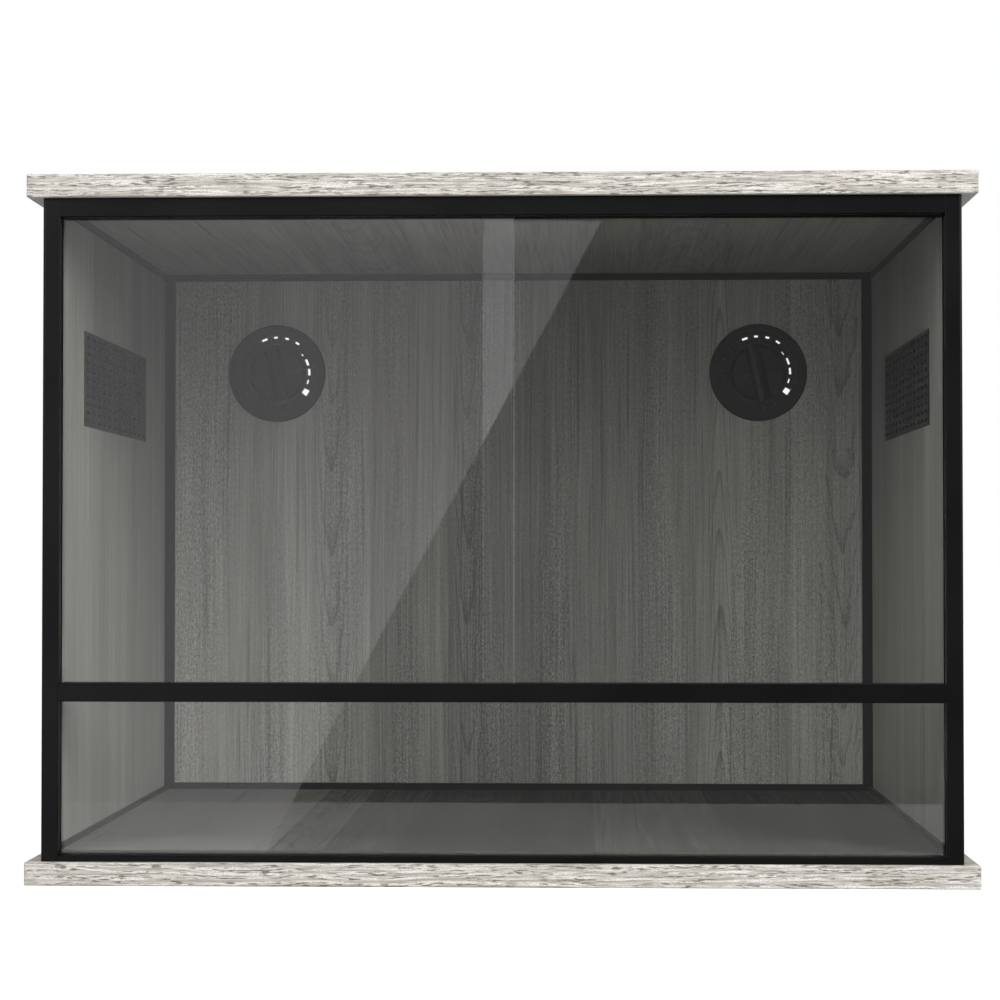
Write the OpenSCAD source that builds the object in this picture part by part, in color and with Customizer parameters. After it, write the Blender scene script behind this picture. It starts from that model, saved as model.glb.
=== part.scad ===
// Reptile terrarium: a black profile frame between two laminated boards, with wood-grain
// panels, two sliding glass doors over a fixed lower glass, an adjustable round vent at each
// side of the back and a slotted vent in each side.
// Millimetres, Z up. The origin is under the middle of the base board, and the doors face -Y.

/* [Body] */
// Width of the frame over the outer faces of its posts
body_w = 590; // [480:10:900]
// Depth of the frame from its front face to its rear face
body_d = 449; // [340:1:600]
// Height of the frame between the two boards
body_h = 427; // [340:1:600]

/* [Boards] */
// Thickness of the top and base boards
board_t = 15; // [12:1:25]
// How far both boards stand out past the frame at each side
side_overhang = 10; // [2:1:30]
// How far both boards stand out past the frame at the front and at the back
depth_overhang = 4; // [2:0.5:20]
// Radius on all edges of the boards
board_edge_r = 1; // [0.5:0.25:3]

/* [Frame] */
// Width of the front stiles, the rear rails and the lower side rails
rail_w = 11; // [10:0.5:20]
// Depth of the front stiles from front to back
stile_d = 25; // [22:1:40]
// Width of the rear posts, seen from the front
rear_post_w = 15.5; // [13.5:0.5:25]
// Radius on the outer upright edges of the frame
corner_r = 1.8; // [0.5:0.1:3]
// Radius on the edges that face the front
edge_r = 0.6; // [0.2:0.1:1]
// Height of the front top rail
top_rail_h = 12.2; // [12:0.1:25]
// Height of the middle rail
mid_rail_h = 11.9; // [11.5:0.1:25]
// Height of the middle rail's underside above the base board
mid_rail_up = 102.5; // [60:0.5:200]
// Height of the front bottom rail
bottom_rail_h = 4; // [4:0.5:12]
// Thickness of the bottom rail's wall behind the lower glass
bottom_rail_wall = 1.2; // [1:0.1:6]
// Height of the side and rear rails under the top board
upper_rail_h = 6.4; // [5:0.1:15]
// Height of the rear rail on the base board
lower_rail_h = 11.6; // [8:0.1:20]
// Height of the side rails on the base board
side_lower_rail_h = 9.2; // [8:0.1:20]
// Thickness of the frame's wall outside the panels
outer_wall = 1.5; // [1:0.1:2.5]
// Thickness of the stile's wall inside the panels
inner_wall = 1; // [0.8:0.1:2]
// How far the panels reach into the posts and lower rails
groove_d = 5; // [3:0.5:5]
// How far the panels reach into the upper rails
upper_groove_d = 3.4; // [2:0.2:4]

/* [Panels] */
// Thickness of the side and back panels
panel_t = 6; // [4:0.5:6.5]
// Thickness of the floor panel
floor_t = 6.4; // [3:0.1:10]
// Thickness of the ceiling liner
liner_t = 4; // [2:0.5:6]
// How far the ceiling liner is let into the top board
liner_inlet = 3; // [1:0.5:5]

/* [Glass and tracks] */
// Thickness of the doors and of the lower glass
glass_t = 4; // [3:0.5:5]
// Depth of the front door's outer face behind the frame's front face
glass_setback = 7.7; // [7:0.1:10]
// Free play at each side of a door in its channel
channel_clear = 0.5; // [0.3:0.1:0.8]
// Thickness of the walls of the tracks, and of the web between the two channels
track_wall = 1.2; // [1:0.1:2]
// Thickness of the tracks behind their channels
track_base = 1.5; // [1:0.1:3]
// Depth of the channels in the upper track, deep enough to lift a door out
upper_channel_h = 9; // [8:0.5:9.5]
// Depth of the channels in the lower track
lower_channel_h = 4.5; // [3:0.5:5]
// How far a closed door reaches into the upper track
door_top_lap = 4.2; // [3:0.1:6]
// How far a door reaches behind the stile's face, and the depth of the stile's channels
side_channel_d = 5.5; // [4:0.5:6]
// Gap under a door in its track
slide_clear = 0.3; // [0.2:0.1:0.5]
// Gap between the closed left door and the bottom of the stile's channel
door_end_gap = 0.5; // [0.3:0.1:2]
// Width over which the closed doors overlap
door_overlap = 20.6; // [10:0.2:40]
// Shift of the middle of the overlap to the right
overlap_shift = -1.3; // [-1.5:0.1:1.5]
// Depth of the lower glass's groove in the middle rail
glass_groove_up = 4; // [3:0.5:4]
// Depth of the lower glass's groove in the bottom rail
glass_groove_down = 2.5; // [1.5:0.5:3]
// Chamfer on the edges of the glass
glass_chamfer = 0.5; // [0.2:0.1:0.8]

/* [Round vents] */
// Distance of each round vent's axis from that side of the frame
round_vent_inset = 99; // [70:1:200]
// Distance of the round vents' axis below the top board
round_vent_drop = 82; // [60:1:200]
// Diameter of the vent's flange
vent_flange_d = 79; // [75:1:90]
// How far the flange stands out from the panel
vent_flange_t = 2.4; // [2:0.1:4]
// Outer diameter of the barrel that passes through the panel
vent_barrel_d = 68; // [67:0.5:72]
// Thickness of the barrel's wall
vent_barrel_wall = 2.6; // [1.5:0.1:3]
// Diameter of the round opening for the knob
knob_hole_d = 48.4; // [44:0.2:49]
// Diameter of the inner ends of the slots
slot_inner_d = 50; // [49.8:0.2:52]
// Diameter of the outer ends of the slots
slot_outer_d = 61; // [56:0.5:61]
// Number of slots in the ring
slot_count = 20; // [12:1:24]
// Width of the bars between the slots
slot_bar = 2.6; // [2:0.1:3.2]
// Thickness of the slotted face and of the shutter's disk
vent_face_t = 2; // [1.5:0.1:2.5]
// How far the face inside the flange's ring lies behind the ring
vent_face_step = 0.8; // [0.4:0.1:1]
// How far the ring of slots lies behind that face
slot_step = 0.6; // [0.2:0.1:0.8]
// Running gap round the shutter and behind the slotted face
vent_clear = 0.3; // [0.2:0.05:0.5]
// Turn of the ring of bars, anticlockwise from the front
slot_turn = 12; // [0:0.5:18]
// Width of the shutter's twist grip at its foot
grip_w = 14.5; // [8:0.5:18]
// Height of the grip above the knob's rim
grip_h = 2.4; // [1:0.1:3]
// Lean of the grip from upright, towards the left from the front
grip_lean = 12; // [0:1:45]
// Diameter of the shutter's pivot pin
pivot_d = 6; // [4:0.5:8]
// Outer diameter of the back cap
cap_d = 77; // [76:0.5:90]
// Thickness of the back cap behind the panel
cap_t = 4; // [3.5:0.1:5]
// Width of the cap's spokes
spoke_w = 3.2; // [2:0.1:6]

/* [Side vents] */
// Length of the side vents from front to back
side_vent_l = 242; // [120:1:300]
// Height of the side vents
side_vent_h = 65; // [40:1:120]
// Distance of the side vents' middle below the top board
side_vent_drop = 109.5; // [80:0.5:200]
// Distance of the side vents' middle ahead of the middle of the body
side_vent_ahead = 3; // [-20:1:20]
// How far a side vent's flange stands out from the panel
side_vent_t = 0.8; // [0.6:0.1:2.5]
// Thickness of the slotted plate
side_vent_plate_t = 3; // [2:0.1:4]
// How far the flange laps over the panel's cut-out
side_vent_lap = 2.2; // [2:0.1:8]
// Width of the plain border round the slots
side_vent_border = 1; // [0.6:0.1:5]
// Thickness of the skirt inside the cut-out
side_vent_skirt = 1.2; // [1:0.1:2.5]
// Slots from front to back
vent_columns = 12; // [6:1:14]
// Slots from bottom to top
vent_rows = 11; // [6:1:12]
// Share of each slot's pitch, front to back, that is open
slot_open_y = 0.6; // [0.3:0.01:0.75]
// Share of each slot's pitch, bottom to top, that is open
slot_open_z = 0.42; // [0.3:0.01:0.6]

/* [Fixings] */
// Diameter of the screws and pins in the posts
fixing_d = 4; // [3:0.1:4.4]
// Diameter of the screws' heads
screw_head_d = 8; // [6.5:0.1:9]
// Length of the base screws
screw_l = 40; // [25:1:80]
// Length of the locating pins under the top board
pin_l = 24; // [12:1:40]
// How far the locating pins reach into the top board
pin_inlet = 9; // [5:1:10]
// Diameter of the pins between the front rails and the stiles
rail_pin_d = 2.4; // [2:0.1:3.4]
// Length of the pins between the front rails and the stiles
rail_pin_l = 12; // [8:1:20]
// How far those pins reach into the stiles, short of the screws there
rail_pin_reach = 3.2; // [1:0.1:3.2]

/* [Hidden] */
$fn = 64;

// The boards
board_w = body_w + 2 * side_overhang;
board_d = body_d + 2 * depth_overhang;

// Levels and faces of the frame
half_w = body_w / 2;
half_d = body_d / 2;
low_z = board_t;
high_z = board_t + body_h;
front_y = -half_d;
inner_x = half_w - rail_w;             // inner faces of the stiles and side rails
post_inner_x = half_w - rear_post_w;   // inner faces of the rear posts
rear_inner_y = half_d - rail_w;        // inner faces of the rear posts and rear rails
panel_in = outer_wall + panel_t;       // depth of a panel's inner face below the frame's outer face
back_face_y = half_d - panel_in;       // inner face of the back panel
side_face_x = half_w - panel_in;       // inner face of a side panel
recess_x = side_face_x - inner_wall;   // inner faces of the upper side rails and the stiles' recess
groove_end_gap = 0.3;                  // free space behind a panel's edge in its groove

// Channels for the doors, as depths behind the frame's front face
channel_w = glass_t + 2 * channel_clear;
front_channel = glass_setback - channel_clear;
rear_channel = front_channel + channel_w + track_wall;
track_front = front_channel - track_wall;
track_d = 2 * channel_w + 3 * track_wall;
front_rail_d = track_front + track_d + outer_wall;
bottom_rail_d = front_channel + channel_w + bottom_rail_wall;

// Levels at the front
top_rail_z = high_z - top_rail_h;
mid_rail_z = low_z + mid_rail_up;
mid_rail_top = mid_rail_z + mid_rail_h;
bottom_rail_top = low_z + bottom_rail_h;

// Doors
door_side_x = inner_x + side_channel_d - door_end_gap;
left_door_x = -door_side_x;
door_w = overlap_shift + door_overlap / 2 - left_door_x;
right_door_x = overlap_shift - door_overlap / 2;
door_z = mid_rail_top - lower_channel_h + slide_clear;
door_h = top_rail_z + door_top_lap - door_z;

// Lower glass in its gasket
gasket_x = inner_x + side_channel_d;
gasket_z = bottom_rail_top - glass_groove_down;
gasket_h = mid_rail_z + glass_groove_up - gasket_z;

// Round vents, measured from the inner face of the back panel along the vent's axis
round_vent_x = half_w - round_vent_inset;
vent_z = high_z - round_vent_drop;
barrel_r = vent_barrel_d / 2;
bore_r = barrel_r - vent_barrel_wall;
ring_front = vent_face_step - vent_flange_t;
face_front = ring_front + slot_step;
face_back = face_front + vent_face_t;
shutter_front = face_back + vent_clear;
shutter_back = shutter_front + vent_face_t;
shutter_r = bore_r - vent_clear;
knob_r = knob_hole_d / 2 - vent_clear;
knob_wall = 1.4;
knob_floor = shutter_back - knob_wall; // bottom of the knob's dish
cap_plate_t = 2;
cap_plate = panel_t + cap_t - cap_plate_t;
slot_mid_r = (slot_inner_d + slot_outer_d) / 4;
bar_angle = slot_bar / slot_mid_r * 180 / PI;
window_angle = bar_angle - 0.4;        // a window hides behind a bar when the vent is shut
slot_in_r = slot_inner_d / 2;
slot_out_r = slot_outer_d / 2;

// What stays open in a shut vent: [slot, spread in degrees, inner radius, outer radius].
// Slots count clockwise from the first one above the level at the right, seen from the front.
LEAKS = [
    [-6, 9, slot_out_r - 1.7, slot_out_r], [-5, 6, slot_out_r - 1.6, slot_out_r],
    [-4, 6, slot_out_r - 1.6, slot_out_r], [-3, 7, slot_out_r - 1.6, slot_out_r],
    [-2, 8, slot_in_r, slot_in_r + 1], [-1, 12, slot_in_r, slot_in_r + 1.9],
    [0, 12, slot_in_r, slot_in_r + 1.9], [1, 8, slot_in_r, slot_in_r + 1.3],
    [2, 10, slot_in_r, slot_out_r - 0.8]
];

// Side vents
side_vent_z = high_z - side_vent_drop;
side_cut_l = side_vent_l - 2 * side_vent_lap;
side_cut_h = side_vent_h - 2 * side_vent_lap;
slot_field_l = side_vent_l - 2 * side_vent_border;
slot_field_h = side_vent_h - 2 * side_vent_border;

// Fixings in the posts, as [x, y] at the right side
stile_fix = [half_w - rail_w / 2, front_y + front_channel / 2];
post_fix_in = 1.7;                     // inwards, clear of the side panel's groove
post_fix_out = 0.4;                    // backwards, clear of the back panel's groove
post_fix = [
    half_w - outer_wall - fixing_d / 2 - post_fix_in,
    half_d - outer_wall - fixing_d / 2 + post_fix_out
];

// ---- Shared shapes ----

// A rectangle from a corner, with chosen corners rounded: [low left, low right, high right, high left]
module soft_rect(w, h, radii) {
    corners = [[0, 0, 0], [w, 0, 90], [w, h, 180], [0, h, 270]];
    difference() {
        square([w, h]);
        for (i = [0:3]) {
            if (radii[i] > 0) {
                translate([corners[i][0], corners[i][1]]) rotate(corners[i][2]) corner_waste(radii[i]);
            }
        }
    }
}

// What a rounded corner takes away
module corner_waste(r) {
    over = 0.5;
    difference() {
        translate([-over, -over]) square(r + over);
        translate([r, r]) circle(r);
    }
}

// Sweeps a profile drawn in Y and Z along X, about the middle
module along_x(length) {
    rotate([90, 0, 90]) linear_extrude(length, center = true) children();
}

// Sweeps a profile drawn in X and Z along Y, between two values of y
module along_y(y0, y1) {
    translate([0, y1, 0]) rotate([90, 0, 0]) linear_extrude(y1 - y0) children();
}

// A box given by its low and high corners
module box(low, high) {
    translate(low) cube(high - low);
}

// A piece for the right side, or its mirror image for the left
module sided(side) {
    mirror([side < 0 ? 1 : 0, 0, 0]) children();
}

// A board with every edge rounded, from z = 0
module soft_board(w, d, t, r) {
    all = [r, r, r, r];
    intersection() {
        translate([-w / 2, -d / 2, 0]) linear_extrude(t) soft_rect(w, d, all);
        along_x(w) translate([-d / 2, 0]) soft_rect(d, t, all);
        along_y(-d / 2, d / 2) translate([-w / 2, 0]) soft_rect(w, t, all);
    }
}

module flat_ring(r_in, r_out) {
    difference() {
        circle(r_out);
        circle(r_in);
    }
}

// ---- Boards ----

module at_post_fixings() {
    for (side = [-1, 1]) {
        translate([side * stile_fix[0], stile_fix[1], 0]) children();
        translate([side * post_fix[0], post_fix[1], 0]) children();
    }
}

module liner_outline() {
    y0 = front_y + front_rail_d;
    translate([-recess_x, y0]) square([2 * recess_x, rear_inner_y - y0]);
}

module top_board() {
    color("#d9d5cc") difference() {
        translate([0, 0, high_z]) soft_board(board_w, board_d, board_t, board_edge_r);
        translate([0, 0, high_z - 1]) linear_extrude(liner_inlet + 1) liner_outline();
        at_post_fixings() translate([0, 0, high_z - 1]) cylinder(h = pin_inlet + 1.5, d = fixing_d);
    }
}

module base_board() {
    color("#d9d5cc") difference() {
        soft_board(board_w, board_d, board_t, board_edge_r);
        at_post_fixings() screw_shape(screw_l);
    }
}

// A countersunk screw, head down, with its head flush at z = 0
module screw_shape(length) {
    head_h = (screw_head_d - fixing_d) / 2;
    land = 0.4;
    translate([0, 0, -1]) cylinder(h = land + 1, d = screw_head_d);
    translate([0, 0, land]) cylinder(h = head_h, d1 = screw_head_d, d2 = fixing_d);
    cylinder(h = length, d = fixing_d);
}

// ---- Panels ----

module ceiling_liner() {
    color("#3d3e3d")
        translate([0, 0, high_z + liner_inlet - liner_t]) linear_extrude(liner_t) liner_outline();
}

module floor_panel() {
    color("#4a4b49") box(
        [-inner_x, front_y + bottom_rail_d, low_z],
        [inner_x, rear_inner_y, low_z + floor_t]
    );
}

module side_panel() {
    y0 = front_y + stile_d - groove_d + groove_end_gap;
    y1 = rear_inner_y + groove_d - groove_end_gap;
    z0 = low_z + side_lower_rail_h - groove_d + groove_end_gap;
    z1 = high_z - upper_rail_h + upper_groove_d - groove_end_gap;
    difference() {
        box([side_face_x, y0, z0], [half_w - outer_wall, y1, z1]);
        at_side_vent() block(side_face_x - 1, half_w, side_cut_l, side_cut_h);
    }
}

module left_side_panel() {
    color("#4a4b49") sided(-1) side_panel();
}

module right_side_panel() {
    color("#4a4b49") sided(1) side_panel();
}

module back_panel() {
    x1 = post_inner_x + groove_d - groove_end_gap;
    z0 = low_z + lower_rail_h - groove_d + groove_end_gap;
    z1 = high_z - upper_rail_h + upper_groove_d - groove_end_gap;
    color("#4a4b49") difference() {
        box([-x1, back_face_y, z0], [x1, half_d - outer_wall, z1]);
        for (side = [-1, 1]) {
            at_round_vent(side) translate([0, 0, -1]) cylinder(h = panel_t + 2, r = barrel_r);
        }
    }
}

// ---- Frame ----

// Section of the right front stile: two channels for the doors and a groove for the side panel
module stile_section() {
    channel_x = rail_w - side_channel_d;
    difference() {
        soft_rect(rail_w, stile_d, [edge_r, corner_r, 0, 0]);
        for (y = [front_channel, rear_channel]) {
            translate([-1, y]) square([side_channel_d + 1, channel_w]);
        }
        translate([-1, rear_channel]) square([recess_x - inner_x + 1, stile_d]);
        translate([rail_w - panel_in, stile_d - groove_d]) square([panel_t, groove_d + 1]);
    }
}

module front_stile() {
    difference() {
        translate([inner_x, front_y, low_z]) linear_extrude(body_h) stile_section();
        post_fixing_holes();
        front_rail_pin_set(0);
    }
}

module front_left_stile() {
    color("#1c1c1d") sided(-1) front_stile();
}

module front_right_stile() {
    color("#1c1c1d") sided(1) front_stile();
}

// Section of the right rear post: a groove for the side panel and one for the back panel
module post_section() {
    difference() {
        soft_rect(rear_post_w, rail_w, [0, 0, corner_r, 0]);
        translate([rear_post_w - panel_in, -1]) square([panel_t, groove_d + 1]);
        translate([-1, rail_w - panel_in]) square([groove_d + 1, panel_t]);
    }
}

module rear_post() {
    difference() {
        translate([post_inner_x, rear_inner_y, low_z]) linear_extrude(body_h) post_section();
        post_fixing_holes();
    }
}

module rear_left_post() {
    color("#1c1c1d") sided(-1) rear_post();
}

module rear_right_post() {
    color("#1c1c1d") sided(1) rear_post();
}

// Front rails fit between the stiles
module front_rail(z0) {
    difference() {
        translate([0, front_y, z0]) along_x(2 * inner_x) children();
        for (side = [-1, 1]) {
            sided(side) front_rail_pin_set(0);
        }
    }
}

module front_top_rail() {
    trough_h = upper_channel_h + track_base;
    color("#1c1c1d") front_rail(top_rail_z) difference() {
        soft_rect(front_rail_d, top_rail_h, [edge_r, 0, 0, edge_r]);
        translate([track_front, -1]) square([track_d, trough_h + 1]);
    }
}

module front_mid_rail() {
    trough_h = lower_channel_h + track_base;
    color("#1c1c1d") front_rail(mid_rail_z) difference() {
        soft_rect(front_rail_d, mid_rail_h, [edge_r, 0, 0, edge_r]);
        translate([track_front, mid_rail_h - trough_h]) square([track_d, trough_h + 1]);
        translate([front_channel, -1]) square([channel_w, glass_groove_up + 1]);
    }
}

module front_bottom_rail() {
    color("#1c1c1d") front_rail(low_z) difference() {
        soft_rect(bottom_rail_d, bottom_rail_h, [edge_r, 0, 0, edge_r]);
        translate([front_channel, bottom_rail_h - glass_groove_down])
            square([channel_w, glass_groove_down + 1]);
    }
}

// Section of a side or rear rail: outer face at 0, groove for the panel in the top edge
module panel_rail_section(w, h, depth) {
    difference() {
        soft_rect(w, h, [0, 0, edge_r, 0]);
        translate([outer_wall, h - depth]) square([panel_t, depth + 1]);
    }
}

// A lower side rail is notched round the stile, and runs on in the recess behind the doors
module side_bottom_rail() {
    h = side_lower_rail_h;
    difference() {
        along_y(front_y + rear_channel, rear_inner_y) translate([half_w, low_z])
            mirror([1, 0]) panel_rail_section(rail_w, h, groove_d);
        box([recess_x, front_y, low_z - 1], [half_w + 1, front_y + stile_d, low_z + h + 1]);
    }
}

module side_top_rail() {
    along_y(front_y + stile_d, rear_inner_y) translate([half_w, high_z])
        mirror([0, 1]) mirror([1, 0]) panel_rail_section(half_w - recess_x, upper_rail_h, upper_groove_d);
}

module rear_rail(h, depth) {
    translate([0, half_d, 0]) along_x(2 * post_inner_x) mirror([1, 0]) panel_rail_section(rail_w, h, depth);
}

module left_top_rail() {
    color("#1c1c1d") sided(-1) side_top_rail();
}

module right_top_rail() {
    color("#1c1c1d") sided(1) side_top_rail();
}

module rear_top_rail() {
    color("#1c1c1d") translate([0, 0, high_z]) mirror([0, 0, 1]) rear_rail(upper_rail_h, upper_groove_d);
}

module left_bottom_rail() {
    color("#1c1c1d") sided(-1) side_bottom_rail();
}

module right_bottom_rail() {
    color("#1c1c1d") sided(1) side_bottom_rail();
}

module rear_bottom_rail() {
    color("#1c1c1d") translate([0, 0, low_z]) rear_rail(lower_rail_h, groove_d);
}

// ---- Door tracks ----

// Section of a double track, open upwards, from the front wall
module track_section(channel_h) {
    difference() {
        square([track_d, channel_h + track_base]);
        for (y = [track_wall, 2 * track_wall + channel_w]) {
            translate([y, track_base]) square([channel_w, channel_h + 1]);
        }
    }
}

module upper_door_track() {
    h = upper_channel_h + track_base;
    color("#141414") translate([0, front_y + track_front, top_rail_z + h])
        along_x(2 * inner_x) mirror([0, 1]) track_section(upper_channel_h);
}

module lower_door_track() {
    h = lower_channel_h + track_base;
    color("#141414") translate([0, front_y + track_front, mid_rail_top - h])
        along_x(2 * inner_x) track_section(lower_channel_h);
}

// ---- Glass ----

// A pane from its low left front corner, with its edges chamfered
module pane(w, h) {
    c = glass_chamfer;
    intersection() {
        translate([w / 2, 0, 0]) along_x(w) polygon([
            [c, 0], [glass_t - c, 0], [glass_t, c], [glass_t, h - c],
            [glass_t - c, h], [c, h], [0, h - c], [0, c]
        ]);
        linear_extrude(h) polygon([
            [c, 0], [w - c, 0], [w, c], [w, glass_t - c],
            [w - c, glass_t], [c, glass_t], [0, glass_t - c], [0, c]
        ]);
    }
}

module left_door_glass() {
    color("#9aa3a3", 0.35) translate([left_door_x, front_y + glass_setback, door_z]) pane(door_w, door_h);
}

module right_door_glass() {
    color("#9aa3a3", 0.35)
        translate([right_door_x, front_y + rear_channel + channel_clear, door_z]) pane(door_w, door_h);
}

module lower_glass() {
    color("#9aa3a3", 0.35)
        translate([channel_clear - gasket_x, front_y + glass_setback, gasket_z + channel_clear])
        pane(2 * (gasket_x - channel_clear), gasket_h - 2 * channel_clear);
}

// A seal with a U section round all four edges of the lower glass, flush with the frame
module lower_glass_gasket() {
    y0 = front_y + front_channel;
    color("#0f0f0f") difference() {
        box([-gasket_x, y0, gasket_z], [gasket_x, y0 + channel_w, gasket_z + gasket_h]);
        box([-inner_x, y0 - 1, bottom_rail_top], [inner_x, y0 + channel_w + 1, mid_rail_z]);
        box(
            [channel_clear - gasket_x, y0 + channel_clear, gasket_z + channel_clear],
            [gasket_x - channel_clear, y0 + channel_clear + glass_t, gasket_z + gasket_h - channel_clear]
        );
    }
}

// ---- Side vents ----

// The right vent: a thin flange, a slotted plate let into the panel, and a skirt through it
module side_vent() {
    face_x = side_face_x - side_vent_t;
    plate_x = face_x + side_vent_plate_t;
    pitch_y = slot_field_l / vent_columns;
    pitch_z = slot_field_h / vent_rows;
    over = 0.3;                        // the slots' cuts pass the plate by this much
    at_side_vent() difference() {
        union() {
            block(face_x, side_face_x, side_vent_l, side_vent_h);
            block(face_x, plate_x, side_cut_l, side_cut_h);
            difference() {
                block(face_x, half_w - outer_wall, side_cut_l, side_cut_h);
                block(
                    plate_x, half_w,
                    side_cut_l - 2 * side_vent_skirt, side_cut_h - 2 * side_vent_skirt
                );
            }
        }
        for (column = [0:vent_columns - 1], row = [0:vent_rows - 1]) {
            translate([
                0,
                (column - (vent_columns - 1) / 2) * pitch_y,
                (row - (vent_rows - 1) / 2) * pitch_z
            ]) block(face_x - over, plate_x + over, pitch_y * slot_open_y, pitch_z * slot_open_z);
        }
    }
}

// The middle of the right side vent
module at_side_vent() {
    translate([0, -side_vent_ahead, side_vent_z]) children();
}

// A block between two values of x, centred in y and z
module block(x0, x1, l, h) {
    translate([x0, -l / 2, -h / 2]) cube([x1 - x0, l, h]);
}

module left_side_vent() {
    color("#151515") sided(-1) side_vent();
}

module right_side_vent() {
    color("#151515") sided(1) side_vent();
}

// ---- Round vents ----

// Puts a shape on a vent's axis: its z = 0 on the panel's inner face, its +z to the back
module at_round_vent(side) {
    translate([side * round_vent_x, back_face_y, vent_z]) rotate([-90, 0, 0]) children();
}

// Turns a shape clockwise by a number of slots, from the bar above the level at the right
module at_slot(i) {
    rotate(i * 360 / slot_count - slot_turn) children();
}

// The open part of a ring of slots, with bars of even width between them
module slots() {
    difference() {
        flat_ring(slot_in_r, slot_out_r);
        for (i = [0:slot_count - 1]) {
            at_slot(i) translate([0, -slot_bar / 2]) square([slot_outer_d, slot_bar]);
        }
    }
}

// A wedge from the axis, for arcs of a chosen spread
module wedge(angle) {
    reach = slot_outer_d;
    polygon([[0, 0], [reach, -reach * tan(angle / 2)], [reach, reach * tan(angle / 2)]]);
}

// Openings in the shutter: windows that just hide behind the bars, and the leaks between them
module windows() {
    intersection() {
        flat_ring(slot_in_r, slot_out_r);
        for (i = [0:slot_count - 1]) at_slot(i) wedge(window_angle);
    }
    for (leak = LEAKS) {
        at_slot(leak[0] + 0.5) intersection() {
            flat_ring(leak[2], leak[3]);
            wedge(leak[1]);
        }
    }
}

// The flange has a bevelled ring and a groove inside it, and the slots lie a step behind its face
module vent_housing() {
    flange_r = vent_flange_d / 2;
    bevel = 1.2;
    lip_r = barrel_r + 0.8;
    groove_w = 1.2;
    groove_depth = 0.7;
    slot_ring_r = slot_out_r + 0.6;
    difference() {
        rotate_extrude() polygon([
            [lip_r, -vent_flange_t],
            [flange_r - bevel, -vent_flange_t],
            [flange_r, bevel - vent_flange_t],
            [flange_r, 0],
            [barrel_r, 0],
            [barrel_r, cap_plate - vent_clear],
            [bore_r, cap_plate - vent_clear],
            [bore_r, face_back],
            [knob_hole_d / 2, face_back],
            [knob_hole_d / 2, face_front],
            [slot_ring_r, face_front],
            [slot_ring_r, ring_front],
            [lip_r - groove_w, ring_front],
            [lip_r - groove_w, ring_front + groove_depth],
            [lip_r, ring_front + groove_depth]
        ]);
        translate([0, 0, face_front - 1]) linear_extrude(vent_face_t + 2) slots();
    }
}

// The shutter: a disk with windows, a dished knob with a ridged twist grip, and a pivot pin
module vent_shutter() {
    rim = 1.4;
    slope = 3;
    pin_end = panel_t + cap_t - 2 * vent_clear;
    translate([0, 0, shutter_front]) linear_extrude(vent_face_t) difference() {
        circle(shutter_r);
        windows();
    }
    rotate_extrude() polygon([
        [0, knob_floor],
        [knob_r - rim - slope, knob_floor],
        [knob_r - rim, face_front],
        [knob_r, face_front],
        [knob_r, shutter_back],
        [0, shutter_back]
    ]);
    intersection() {
        cylinder(h = 2 * (vent_flange_t + grip_h + panel_t), r = knob_r - rim / 2, center = true);
        rotate(-grip_lean) {
            grip_bar();
            cross_rib();
        }
    }
    translate([0, 0, knob_floor]) cylinder(h = pin_end - knob_floor, d = pivot_d);
}

// The grip: a low roof with a narrow flat ridge, across the knob
module grip_bar() {
    ridge = 0.5;
    foot = knob_floor + 0.5;
    top = face_front - grip_h;
    shoulder = top + grip_h / 3;
    rotate([90, 0, 0]) linear_extrude(2 * knob_r, center = true) polygon([
        [-grip_w / 2, foot],
        [-grip_w / 4, shoulder],
        [-ridge, top],
        [ridge, top],
        [grip_w / 4, shoulder],
        [grip_w / 2, foot]
    ]);
}

// A fine rib across the dish, square to the grip
module cross_rib() {
    rib_w = 0.8;
    rib_drop = 0.4;                    // below the knob's rim
    rib_h = knob_floor - face_front;
    translate([-knob_r, -rib_w / 2, face_front + rib_drop]) cube([2 * knob_r, rib_w, rib_h]);
}

// The cap screws onto the barrel and carries the pivot in a four-spoked hub
module vent_back_cap() {
    cap_back = panel_t + cap_t;
    hub_wall = 3.4;
    hub_r = pivot_d / 2 + hub_wall;
    hub_lead = 1.6;                    // the hub reaches this far ahead of the spokes
    spoke_root = 1;                    // the spokes reach this far into the ring
    spoke_drop = 0.4;                  // their outer faces lie this far inside the cap's
    bevel = 1;
    difference() {
        union() {
            rotate_extrude() polygon([
                [barrel_r + vent_clear, panel_t],
                [cap_d / 2, panel_t],
                [cap_d / 2, cap_back - bevel],
                [cap_d / 2 - bevel, cap_back],
                [bore_r, cap_back],
                [bore_r, cap_plate],
                [barrel_r + vent_clear, cap_plate]
            ]);
            for (i = [0:3]) {
                rotate(45 + i * 90) translate([0, -spoke_w / 2, cap_plate])
                    cube([bore_r + spoke_root, spoke_w, cap_plate_t - spoke_drop]);
            }
            translate([0, 0, cap_plate - hub_lead]) cylinder(h = cap_plate_t + hub_lead, r = hub_r);
        }
        cylinder(h = 3 * cap_back, d = pivot_d + 2 * vent_clear, center = true);
    }
}

module left_vent_housing() {
    color("#161616") at_round_vent(-1) vent_housing();
}

module right_vent_housing() {
    color("#161616") at_round_vent(1) vent_housing();
}

module left_vent_shutter() {
    color("#101010") at_round_vent(-1) vent_shutter();
}

module right_vent_shutter() {
    color("#101010") at_round_vent(1) vent_shutter();
}

module left_vent_back_cap() {
    color("#161616") at_round_vent(-1) vent_back_cap();
}

module right_vent_back_cap() {
    color("#161616") at_round_vent(1) vent_back_cap();
}

// ---- Fixings ----

// Holes up and down the posts, for the base screws and the pins under the top board
module post_fixing_holes() {
    at_post_fixings() {
        cylinder(h = screw_l + 0.5, d = fixing_d);
        translate([0, 0, high_z + pin_inlet - pin_l - 0.5]) cylinder(h = pin_l + 1, d = fixing_d);
    }
}

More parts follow.
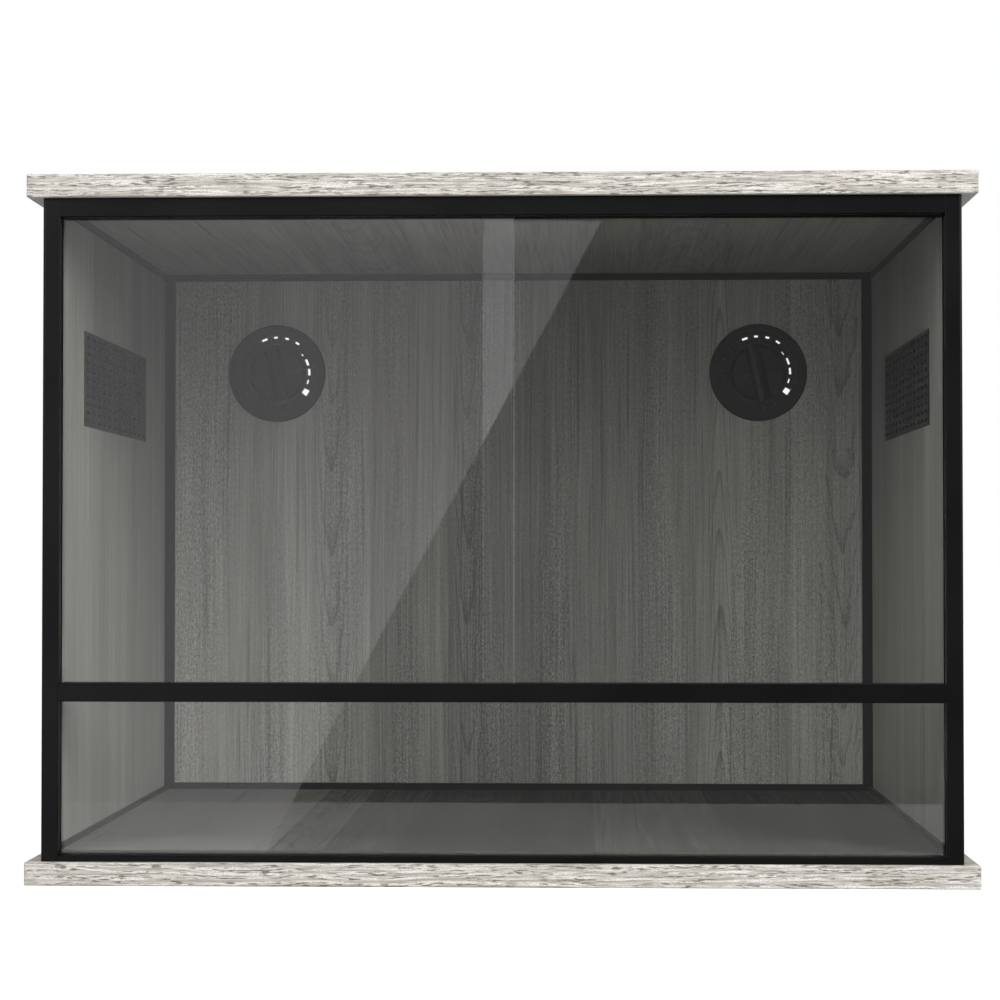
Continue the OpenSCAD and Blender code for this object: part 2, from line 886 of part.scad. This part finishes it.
module base_screws() {
    drive_l = 4.8;
    drive_w = 0.8;
    drive_depth = 1.2;
    color("silver") at_post_fixings() difference() {
        screw_shape(screw_l);
        translate([0, 0, -5]) cube([2 * screw_head_d, 2 * screw_head_d, 10], center = true);
        for (turn = [0, 90]) {
            rotate(turn) cube([drive_l, drive_w, 2 * drive_depth], center = true);
        }
    }
}

module top_locating_pins() {
    color("silver") at_post_fixings()
        translate([0, 0, high_z + pin_inlet - pin_l]) cylinder(h = pin_l, d = fixing_d);
}

// Pins between the front rails and the right stile, shorter by a gap at each end
module front_rail_pin_set(end_gap) {
    mid_z = mid_rail_z + mid_rail_h / 2;
    levels = [
        top_rail_z + top_rail_h / 2,
        mid_z + mid_rail_h / 4,
        mid_z - mid_rail_h / 4,
        low_z + bottom_rail_h / 2
    ];
    for (z = levels) {
        translate([inner_x + rail_pin_reach - rail_pin_l + end_gap, front_y + track_front / 2, z])
            rotate([0, 90, 0]) cylinder(h = rail_pin_l - 2 * end_gap, d = rail_pin_d);
    }
}

module front_rail_pins() {
    color("silver") for (side = [-1, 1]) {
        sided(side) front_rail_pin_set(groove_end_gap);
    }
}

top_board();
base_board();
ceiling_liner();
floor_panel();
left_side_panel();
right_side_panel();
back_panel();
front_left_stile();
front_right_stile();
rear_left_post();
rear_right_post();
front_top_rail();
front_mid_rail();
front_bottom_rail();
left_top_rail();
right_top_rail();
rear_top_rail();
left_bottom_rail();
right_bottom_rail();
rear_bottom_rail();
upper_door_track();
lower_door_track();
left_door_glass();
right_door_glass();
lower_glass();
lower_glass_gasket();
left_side_vent();
right_side_vent();
left_vent_housing();
left_vent_shutter();
left_vent_back_cap();
right_vent_housing();
right_vent_shutter();
right_vent_back_cap();
base_screws();
top_locating_pins();
front_rail_pins();
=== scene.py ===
import math

import bpy
from mathutils import Matrix, Vector


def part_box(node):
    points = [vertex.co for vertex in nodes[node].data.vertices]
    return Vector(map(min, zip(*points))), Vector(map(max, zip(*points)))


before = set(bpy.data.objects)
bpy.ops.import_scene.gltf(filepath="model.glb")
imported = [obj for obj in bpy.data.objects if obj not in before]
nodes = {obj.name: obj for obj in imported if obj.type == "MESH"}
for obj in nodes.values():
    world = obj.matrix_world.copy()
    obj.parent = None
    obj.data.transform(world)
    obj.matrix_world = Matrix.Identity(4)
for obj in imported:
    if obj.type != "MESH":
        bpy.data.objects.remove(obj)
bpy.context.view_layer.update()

X, Y, Z = 0, 1, 2
WHITE = (1.0, 1.0, 1.0, 1.0)

# ---- Camera, as the photograph was taken ----

IMAGE_SIDE = 1000        # pixels
SENSOR_WIDTH = 36.0      # millimetres
FOCAL_PIXELS = 2523.0
NEAR_CLIP = 0.05         # metres
FAR_CLIP = 60.0
CAMERA_PLACE = Vector((0.0512, -1.8380, 0.2114))
CAMERA_YAW = 0.0317      # radians, to the left
CAMERA_PITCH = 0.0220    # radians, upwards


def make_camera():
    data = bpy.data.cameras.new("camera")
    data.sensor_width = SENSOR_WIDTH
    data.lens = FOCAL_PIXELS * SENSOR_WIDTH / IMAGE_SIDE
    data.clip_start = NEAR_CLIP
    data.clip_end = FAR_CLIP
    camera = bpy.data.objects.new("camera", data)
    camera.location = CAMERA_PLACE
    camera.rotation_euler = (math.pi / 2 + CAMERA_PITCH, 0.0, CAMERA_YAW)
    bpy.context.collection.objects.link(camera)
    bpy.context.scene.camera = camera


# ---- Node trees ----

NOISE_RANGE = (0.3, 0.7)  # nearly all of a noise lies in it
SQUARE_ON = 0.7           # how far a surface faces along an axis to count as facing it


class Tree:
    """The nodes of a material or a world. Most methods add nodes and return an output socket."""

    def __init__(self, owner):
        owner.use_nodes = True
        self.owner = owner
        self.nodes = owner.node_tree.nodes
        self.links = owner.node_tree.links

    def feed(self, socket, value):
        """Links a socket to an output, or gives it a fixed value."""
        if isinstance(value, bpy.types.NodeSocket):
            self.links.new(value, socket)
        elif value is not None:
            socket.default_value = value

    def node(self, kind, **settings):
        made = self.nodes.new(kind)
        for name, value in settings.items():
            setattr(made, name, value)
        return made

    def calc(self, operation, a, b=None):
        made = self.node("ShaderNodeMath", operation=operation)
        for socket, value in zip(made.inputs, (a, b)):
            self.feed(socket, value)
        return made.outputs[0]

    def split(self, vector):
        """A vector's x, y and z, as three sockets."""
        made = self.node("ShaderNodeSeparateXYZ")
        self.links.new(vector, made.inputs[0])
        return made.outputs

    def place(self):
        """The object's own coordinates, in metres."""
        return self.split(self.node("ShaderNodeTexCoord").outputs["Object"])

    def normal(self):
        """The surface's direction."""
        return self.split(self.node("ShaderNodeNewGeometry").outputs["Normal"])

    def facing(self, axis):
        """How far the surface faces along an axis, from 0 to 1 either way."""
        return self.calc("ABSOLUTE", self.normal()[axis])

    def faces(self, axis, at_least=SQUARE_ON):
        """1 where the surface faces along an axis, either way, and 0 elsewhere."""
        return self.calc("GREATER_THAN", self.facing(axis), at_least)

    def choose(self, switch, off, on):
        """off where the switch is 0, on where it is 1."""
        kept = self.calc("MULTIPLY", off, self.calc("SUBTRACT", 1.0, switch))
        return self.calc("ADD", kept, self.calc("MULTIPLY", on, switch))

    def noise(self, x, y, z, detail=2.0, roughness=0.5, distortion=0.0):
        """Noise from 0 to 1 at a point given in cells of the noise."""
        point = self.node("ShaderNodeCombineXYZ")
        for socket, value in zip(point.inputs, (x, y, z)):
            self.feed(socket, value)
        made = self.node("ShaderNodeTexNoise")
        self.links.new(point.outputs[0], made.inputs["Vector"])
        made.inputs["Scale"].default_value = 1.0
        made.inputs["Detail"].default_value = detail
        made.inputs["Roughness"].default_value = roughness
        made.inputs["Distortion"].default_value = distortion
        return made.outputs["Fac"]

    def grain(self, along, across, cells, layer, **settings):
        """Noise drawn out along the grain. cells is their number per metre, (along, across)."""
        x, y = (self.calc("MULTIPLY", value, count) for value, count in zip((along, across), cells))
        return self.noise(x, y, layer, **settings)

    def cloud(self, cells, upright_cells=None, **settings):
        """Noise with a number of cells per metre, and another number upwards where given."""
        x, y, z = self.place()
        x, y = (self.calc("MULTIPLY", value, cells) for value in (x, y))
        z = self.calc("MULTIPLY", z, upright_cells or cells)
        return self.noise(x, y, z, **settings)

    def spread(self, value, low, high, to_low=0.0, to_high=1.0, shape="SMOOTHSTEP"):
        """Maps a range onto another, without passing its ends."""
        made = self.node("ShaderNodeMapRange", interpolation_type=shape)
        for socket, number in zip(made.inputs, (value, low, high, to_low, to_high)):
            self.feed(socket, number)
        return made.outputs[0]

    def vary(self, noise, low, high):
        """Turns noise into a value from low to high."""
        return self.spread(noise, *NOISE_RANGE, low, high)

    def sway(self, value, noise, width):
        """Moves a value to and fro with noise, by up to half the width."""
        shift = self.calc("MULTIPLY", self.calc("SUBTRACT", noise, 0.5), width)
        return self.calc("ADD", value, shift)

    def ramp(self, value, stops, interpolation="LINEAR"):
        """Colours by value. stops lists (value, (red, green, blue))."""
        made = self.node("ShaderNodeValToRGB")
        made.color_ramp.interpolation = interpolation
        elements = made.color_ramp.elements
        while len(elements) < len(stops):
            elements.new(0.5)
        for element, (position, colour) in zip(elements, stops):
            element.position = position
            element.color = (*colour, 1.0)
        self.feed(made.inputs[0], value)
        return made.outputs[0]

    def tint(self, noise, dark, light):
        """Turns noise into a colour from dark to light."""
        return self.ramp(noise, list(zip(NOISE_RANGE, (dark, light))))

    def stain(self, colour, stain, share, depth=1.0):
        """Lays a stain over a colour. share says where, and depth how strongly."""
        made = self.node("ShaderNodeMix", data_type="RGBA")
        self.feed(made.inputs[0], self.calc("MULTIPLY", share, depth))
        for socket, value in zip(made.inputs[6:8], (colour, stain)):
            self.feed(socket, (*value, 1.0) if isinstance(value, tuple) else value)
        return made.outputs[2]


class Material(Tree):
    """A material's nodes, which end in its own shader."""

    def __init__(self, name):
        super().__init__(bpy.data.materials.new(name))
        self.shader = self.nodes["Principled BSDF"]

    def bump(self, height, distance, strength):
        made = self.node("ShaderNodeBump")
        made.inputs["Strength"].default_value = strength
        made.inputs["Distance"].default_value = distance
        self.feed(made.inputs["Height"], height)
        self.links.new(made.outputs[0], self.shader.inputs["Normal"])

    def finish(self, colour, roughness, **shader_values):
        self.feed(self.shader.inputs["Base Color"], colour)
        self.feed(self.shader.inputs["Roughness"], roughness)
        for name, value in shader_values.items():
            self.feed(self.shader.inputs[name.replace("_", " ")], value)
        return self.owner


def grey(level):
    return (level, level, level)


def shaded(colour, shade):
    return tuple(shade * level for level in colour)


# ---- Materials ----

OAK_GREY = (0.430, 0.404, 0.362)
OAK_MIDDLE = (0.650, 0.622, 0.574)
OAK_CREAM = (0.880, 0.862, 0.822)
OAK_STREAK = (0.300, 0.265, 0.225)
OAK_SPECK = (0.330, 0.300, 0.262)
OAK_PORE = (0.110, 0.092, 0.075)
OAK_UNDERSIDE = (0.580, 0.572, 0.555)


def board_laminate():
    """Whitewashed oak: cream with grey bands and short brown pores along the grain."""
    t = Material("whitewashed_oak")
    place = t.place()
    # The grain runs along X, and along Y on the banded ends
    along = t.choose(t.faces(X), place[X], place[Y])
    across = t.choose(t.faces(Z), place[Z], place[Y])
    drift = t.grain(along, across, (9.0, 30.0), 2.0, detail=3.0)
    across = t.sway(across, drift, 0.007)

    bands = t.grain(along, across, (14.0, 560.0), 5.0, detail=3.0)
    streaks = t.grain(along, across, (70.0, 900.0), 9.0, roughness=0.6)
    specks = t.grain(along, across, (800.0, 1600.0), 13.0, detail=1.0)
    pores = t.grain(along, across, (130.0, 1000.0), 3.0, detail=1.0, roughness=0.6)
    clusters = t.grain(along, across, (30.0, 330.0), 7.0)
    streak = t.spread(streaks, 0.51, 0.62)
    speck = t.spread(specks, 0.42, 0.66)
    pore = t.calc("MULTIPLY", t.spread(pores, 0.51, 0.59), t.spread(clusters, 0.44, 0.56))
    under = t.calc("LESS_THAN", t.normal()[Z], -SQUARE_ON)

    colour = t.ramp(bands, [(0.34, OAK_GREY), (0.48, OAK_MIDDLE), (0.62, OAK_CREAM)])
    colour = t.stain(colour, OAK_STREAK, streak, 0.60)
    colour = t.stain(colour, OAK_SPECK, speck, 0.42)
    colour = t.stain(colour, OAK_PORE, pore, 0.80)
    colour = t.stain(colour, OAK_UNDERSIDE, under, 0.85)
    hollow = t.calc("MAXIMUM", pore, t.calc("MULTIPLY", streak, 0.5))
    t.bump(t.calc("SUBTRACT", 1.0, hollow), 0.00025, 0.6)
    return t.finish(colour, t.vary(bands, 0.62, 0.50), Specular_IOR_Level=0.35)


RINGS = 17.0             # growth rings per metre along the middle of an arch
RING_UNEVEN = 0.075      # metres by which a ring may lie off its even place
ARCH_LAYER = 20          # the first layer of noise of a panel's arches


def arches(t, along, across, layer, centre, reach, steepness, depth, wander, shift=0.0):
    """Arched figure: growth rings that darken sharply at their outer edge and fade inwards.

    It lies within reach of its centre, across the grain. The arches point along the grain, or
    against it where steepness is negative. Shift moves them along the grain.
    """
    along = t.calc("ADD", along, shift)
    wave = t.grain(along, across, (24.0, 60.0), layer, detail=3.0)
    from_middle = t.sway(t.calc("SUBTRACT", across, centre), wave, 4 * wander)
    bow = t.calc("MULTIPLY", t.calc("POWER", from_middle, 2.0), abs(steepness))
    ring = t.calc("ADD", t.calc("MULTIPLY", along, math.copysign(1.0, steepness)), bow)
    uneven = t.noise(t.calc("MULTIPLY", ring, 11.0), 3.1 * layer, 0.0, detail=1.0)
    ring = t.calc("ADD", ring, t.calc("MULTIPLY", uneven, RING_UNEVEN))
    inwards = t.calc("FRACT", t.calc("MULTIPLY", ring, -RINGS))
    line = t.calc("POWER", t.spread(inwards, 0.0, 0.55, 1.0, 0.0), 2.2)
    near = t.spread(t.calc("ABSOLUTE", from_middle), 0.45 * reach, reach, depth, 0.0)
    return t.calc("MULTIPLY", line, near)


PANEL_DARK = (0.106, 0.105, 0.095)
PANEL_MIDDLE = (0.228, 0.226, 0.204)
PANEL_LIGHT = (0.375, 0.372, 0.338)
EDGE_PAINTED_SHADE = 0.5         # painted shade on a panel's faces across the grain
PANEL_START = -0.3       # metres, where the lists of strips begin across the grain
PANEL_SPAN = 0.6


def panel_laminate(name, along_axis, across_axis, layer, strips, figures,
                   fleck_depth=1.0, shade=1.0, shine=0.35):
    """Dark grey wood print in joined strips: fine straight lines, curly fleck and some arches.

    strips lists (where a strip begins across the grain, its tone), and figures lists what arches
    takes after its layer. shade darkens the colours as painted shade; shine is the specular level.
    """
    t = Material(name)
    place = t.place()
    along = place[along_axis]
    straight = place[across_axis]
    drift = t.grain(along, straight, (2.5, 14.0), layer)
    across = t.sway(straight, drift, 0.009)

    def lines(cells, number, **settings):
        return t.grain(along, across, cells, layer + number, **settings)

    share = t.calc("DIVIDE", t.calc("SUBTRACT", straight, PANEL_START), PANEL_SPAN)
    stops = [((begin - PANEL_START) / PANEL_SPAN, grey(tone)) for begin, tone in strips]
    tone = t.ramp(share, stops, "CONSTANT")
    tone = t.sway(tone, lines((0.9, 26.0), 1, detail=3.0), 0.42)
    tone = t.sway(tone, lines((3.0, 150.0), 2, detail=3.0, roughness=0.6), 0.42)
    tone = t.sway(tone, lines((9.0, 780.0), 3), 0.75)
    dark_lines = t.spread(lines((5.0, 300.0), 7, detail=1.0), 0.62, 0.70)
    tone = t.calc("SUBTRACT", tone, t.calc("MULTIPLY", dark_lines, 0.20))
    fleck = lines((500.0, 950.0), 4, detail=1.0, distortion=0.8)
    curly = t.spread(lines((1.6, 19.0), 5, detail=1.0), 0.40, 0.62, 0.35, 1.0)
    tone = t.sway(tone, fleck, t.calc("MULTIPLY", curly, 1.6 * fleck_depth))
    for number, figure in enumerate(figures):
        arch = arches(t, along, across, layer + ARCH_LAYER + number, *figure)
        tone = t.calc("SUBTRACT", tone, arch)

    levels = ((0.10, PANEL_DARK), (0.50, PANEL_MIDDLE), (0.90, PANEL_LIGHT))
    colour = t.ramp(tone, [(level, shaded(paint, shade)) for level, paint in levels])
    # Painted shade: where the grain runs along Y, the faces across it, the panel's edges, are made
    # darker
    if along_axis == Y:
        colour = t.stain(colour, shaded(PANEL_MIDDLE, EDGE_PAINTED_SHADE * shade), t.faces(Y))
    t.bump(fleck, 0.00010, 0.4)
    return t.finish(colour, t.vary(drift, 0.58, 0.46), Specular_IOR_Level=shine)


# Strips: where each begins, its tone. Figures: centre, reach, steepness, depth, wander, shift
BACK_STRIPS = [
    (-0.300, 0.58), (-0.258, 0.50), (-0.191, 0.60), (-0.155, 0.50), (-0.120, 0.42),
    (-0.082, 0.52), (-0.058, 0.38), (-0.028, 0.37), (0.020, 0.40), (0.106, 0.46),
    (0.143, 0.54), (0.198, 0.52), (0.222, 0.66), (0.250, 0.60),
]
BACK_FIGURES = [
    (0.1649, 0.016, 1300.0, 0.32, 0.0008, 0.026),
    (-0.1504, 0.020, -700.0, 0.28, 0.002),
    (-0.0400, 0.017, -900.0, 0.30, 0.002),
    (0.2640, 0.026, -560.0, 0.28, 0.006),
]
SIDE_STRIPS = [
    (-0.300, 0.50), (-0.120, 0.56), (-0.095, 0.47), (-0.030, 0.52), (0.060, 0.48),
    (0.150, 0.54),
]
# The floor's strips are strips of the print, and their tones also paint light: painted light on the
# left strips, painted shade on the middle and right ones
FLOOR_STRIPS_AND_PAINTED_LIGHT = [
    (-0.300, 0.90), (-0.205, 0.92), (-0.150, 0.56), (-0.115, 0.26), (-0.070, 0.13),
    (0.060, 0.29), (0.150, 0.19),
]
FLOOR_FIGURES = [
    (-0.148, 0.050, 230.0, 0.24, 0.006),
    (-0.030, 0.058, -170.0, 0.26, 0.008),
    (0.190, 0.050, 240.0, 0.16, 0.005),
]
CEILING_STRIPS = [
    (-0.300, 0.52), (-0.160, 0.46), (-0.070, 0.54), (0.040, 0.50), (0.120, 0.46),
    (0.200, 0.52),
]
CEILING_FIGURES = [
    (-0.110, 0.050, 240.0, 0.16, 0.006),
    (0.130, 0.050, -200.0, 0.18, 0.006),
]


def frame_profile():
    """Satin black coating, with the faint orange peel of a sprayed powder."""
    t = Material("satin_black")
    cloud = t.cloud(14.0, detail=3.0)
    dark = (0.0052, 0.0052, 0.0053)
    light = (0.0072, 0.0072, 0.0073)
    colour = t.ramp(cloud, [(0.35, dark), (0.65, light)])
    level = t.spread(t.facing(Z), 0.10, 0.20, 0.11, 0.02)
    t.bump(t.cloud(900.0, detail=1.0), 0.00004, 0.5)
    return t.finish(colour, t.vary(cloud, 0.28, 0.34), Specular_IOR_Level=level)


def black_plastic(name, shade, rough_low, rough_high, face_axis=None, grain_depth=0.00003):
    """Moulded or extruded black plastic with a fine eroded grain.

    Where face_axis is given, faces that don't face along it, the walls of holes, are made blacker
    as painted shade.
    """
    t = Material(name)
    cloud = t.cloud(40.0, detail=3.0)
    colour = t.tint(cloud, grey(0.85 * shade), grey(1.25 * shade))
    level = 0.22
    if face_axis is not None:
        # Painted shade in the holes: their walls are made nearly black
        painted_shade_walls = t.calc("SUBTRACT", 1.0, t.faces(face_axis))
        colour = t.stain(colour, grey(0.0006), painted_shade_walls, 0.9)
        level = t.spread(t.facing(face_axis), 0.5, 0.9, 0.01, level)
    t.bump(t.cloud(2600.0, detail=1.0), grain_depth, 0.5)
    return t.finish(colour, t.vary(cloud, rough_low, rough_high), Specular_IOR_Level=level)


def clear_glass():
    """Float glass: clear faces, and ground edges that look green."""
    t = Material("float_glass")
    edge = t.calc("SUBTRACT", 1.0, t.faces(Y, at_least=0.9))
    colour = t.stain((0.984, 0.985, 0.981), (0.300, 0.460, 0.400), edge)
    ground = t.vary(t.cloud(1500.0, detail=1.0), 0.20, 0.45)
    return t.finish(colour, t.calc("MULTIPLY", edge, ground), Transmission_Weight=1.0, IOR=1.5)


def fixing_steel():
    """Zinc-plated steel, turned on its axis."""
    t = Material("zinc_steel")
    turned = t.cloud(900.0, 4000.0)
    colour = t.tint(turned, (0.42, 0.42, 0.43), (0.60, 0.60, 0.61))
    return t.finish(colour, t.vary(turned, 0.28, 0.42), Metallic=1.0)


def dress(names, material):
    for name in names:
        slots = nodes[name].data.materials
        slots.clear()
        slots.append(material)


PANES = ["left_door_glass", "right_door_glass", "lower_glass"]


def dress_all():
    dress(["top_board", "base_board"], board_laminate())
    dress(["back_panel"], panel_laminate("panel_back", Z, X, 1.0, BACK_STRIPS, BACK_FIGURES))
    # Painted shade on the side panels: shade darkens them below the back panel, the right one a
    # little more
    for side, layer, shade in (("left", 11.0, 0.76), ("right", 21.0, 0.74)):
        dress([f"{side}_side_panel"],
              panel_laminate(f"panel_{side}", Z, Y, layer, SIDE_STRIPS, [], 0.5, shade))
    # Painted shade on the floor: shade darkens it well below the other panels of the same laminate
    dress(["floor_panel"],
          panel_laminate("panel_floor", Y, X, 31.0, FLOOR_STRIPS_AND_PAINTED_LIGHT, FLOOR_FIGURES,
                         fleck_depth=0.9, shade=0.345, shine=0.0))
    dress(["ceiling_liner"],
          panel_laminate("panel_ceiling", Y, X, 41.0, CEILING_STRIPS, CEILING_FIGURES,
                         fleck_depth=0.5))
    dress([name for name in nodes if name.endswith(("_stile", "_post", "_rail"))], frame_profile())
    dress(["upper_door_track", "lower_door_track"],
          black_plastic("track_plastic", 0.010, 0.38, 0.50))
    dress(["lower_glass_gasket"], black_plastic("seal_rubber", 0.008, 0.70, 0.85))
    dress([name for name in nodes if "_vent" in name and "side" not in name],
          black_plastic("vent_plastic", 0.011, 0.34, 0.46, grain_depth=0.00001))
    dress(["left_side_vent", "right_side_vent"],
          black_plastic("grille_plastic", 0.013, 0.45, 0.55, face_axis=X, grain_depth=0.000006))
    dress(PANES, clear_glass())
    dress(["base_screws", "top_locating_pins", "front_rail_pins"], fixing_steel())
    for name in PANES:
        nodes[name].visible_shadow = False


# ---- Light ----

LIGHT_LEVEL = 0.26       # what the room gives to matt surfaces
ROOM_IN_GLASS = 0.20     # the dark side of the room, behind the camera, in shiny surfaces
ROOM_TURN = (0.25, 0.70)  # how far a direction points backwards as the room turns to white


def make_world():
    """The studio: white to the camera, an even light on matt surfaces, and in shiny ones a room
    that is white behind the object and dark behind the camera."""
    t = Tree(bpy.data.worlds.new("studio"))
    bpy.context.scene.world = t.owner
    path = t.node("ShaderNodeLightPath").outputs
    direction = t.split(t.node("ShaderNodeTexCoord").outputs["Generated"])
    room = t.spread(direction[Y], *ROOM_TURN, ROOM_IN_GLASS, 1.0, shape="LINEAR")
    shiny = t.calc("MAXIMUM", path["Is Glossy Ray"], path["Is Transmission Ray"])
    level = t.choose(shiny, LIGHT_LEVEL, room)
    level = t.choose(path["Is Camera Ray"], level, 1.0)
    background = t.nodes["Background"]
    background.inputs["Color"].default_value = WHITE
    t.feed(background.inputs["Strength"], level)


def area_light(name, size, power):
    data = bpy.data.lights.new(name, "AREA")
    data.shape = "RECTANGLE"
    data.size, data.size_y = size
    data.energy = power
    light = bpy.data.objects.new(name, data)
    bpy.context.collection.objects.link(light)
    return light


# The edge of the soft box that the glass mirrors, as points on the front of the glass
GLARE_TOP = (0.0655, 0.4287)      # x, z
GLARE_FOOT = (-0.1514, 0.0202)
GLARE_DISTANCE = 0.9              # from the glass to the soft box
GLARE_SIZE = (2.4, 1.5)           # along that edge, and away from it
GLARE_LEVEL = 0.60
GLARE_COLOUR = (1.0, 0.975, 1.01)


def make_glare():
    """A soft box in front of the doors, seen only in shiny surfaces."""
    glass_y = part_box("left_door_glass")[0].y
    eye = Vector((CAMERA_PLACE.x, 2 * glass_y - CAMERA_PLACE.y, CAMERA_PLACE.z))
    box_y = glass_y - GLARE_DISTANCE
    top, foot = (
        eye + (Vector((x, glass_y, z)) - eye) * ((box_y - eye.y) / (glass_y - eye.y))
        for x, z in (GLARE_TOP, GLARE_FOOT)
    )
    edge = (top - foot).normalized()
    facing = Vector((0.0, -1.0, 0.0))
    left = facing.cross(edge)
    length, width = GLARE_SIZE
    light = area_light("soft_box", GLARE_SIZE, GLARE_LEVEL * math.pi * length * width)
    light.data.color = GLARE_COLOUR
    centre = (top + foot) / 2 + left * (width / 2)
    turn = Matrix((edge, left, facing)).transposed()
    light.matrix_world = Matrix.Translation(centre) @ turn.to_4x4()
    light.visible_camera = False
    light.visible_diffuse = False


LIGHT_TARGET = Vector((0.0, 0.0, 0.22))
LIGHTS = [
    # name, place, size, power in watts
    ("key", Vector((2.18, -2.3, 1.55)), (0.8, 2.0), 86.0),
    ("fill", Vector((-1.62, -2.3, 1.55)), (0.7, 2.0), 43.0),
]


def make_lights():
    for name, place, size, power in LIGHTS:
        light = area_light(name, size, power)
        light.location = place
        light.rotation_euler = (LIGHT_TARGET - place).to_track_quat("-Z", "Y").to_euler()


FLOOR_SIDE = 5.0         # metres from the middle, along X
FLOOR_FRONT = -0.75      # along Y
FLOOR_BACK = 6.0
FLOOR_GLOW = 0.86        # lifts the floor to white for the camera, also through glass


def make_floor():
    """The studio's pale floor, left out of mirror images."""
    mesh = bpy.data.meshes.new("floor")
    corners = [
        (-FLOOR_SIDE, FLOOR_FRONT, 0), (FLOOR_SIDE, FLOOR_FRONT, 0),
        (FLOOR_SIDE, FLOOR_BACK, 0), (-FLOOR_SIDE, FLOOR_BACK, 0),
    ]
    mesh.from_pydata(corners, [], [(0, 1, 2, 3)])
    floor = bpy.data.objects.new("floor", mesh)
    bpy.context.collection.objects.link(floor)
    t = Material("pale_floor")
    colour = t.tint(t.cloud(60.0), grey(0.44), grey(0.46))
    path = t.node("ShaderNodeLightPath").outputs
    seen = t.calc("MAXIMUM", path["Is Camera Ray"], path["Is Transmission Ray"])
    glow = t.calc("MULTIPLY", seen, FLOOR_GLOW)
    mesh.materials.append(t.finish(colour, 0.9, Emission_Color=WHITE, Emission_Strength=glow))
    floor.visible_glossy = False


make_camera()
dress_all()
make_world()
make_floor()
make_glare()
make_lights()

bpy.context.scene.view_settings.view_transform = "Standard"
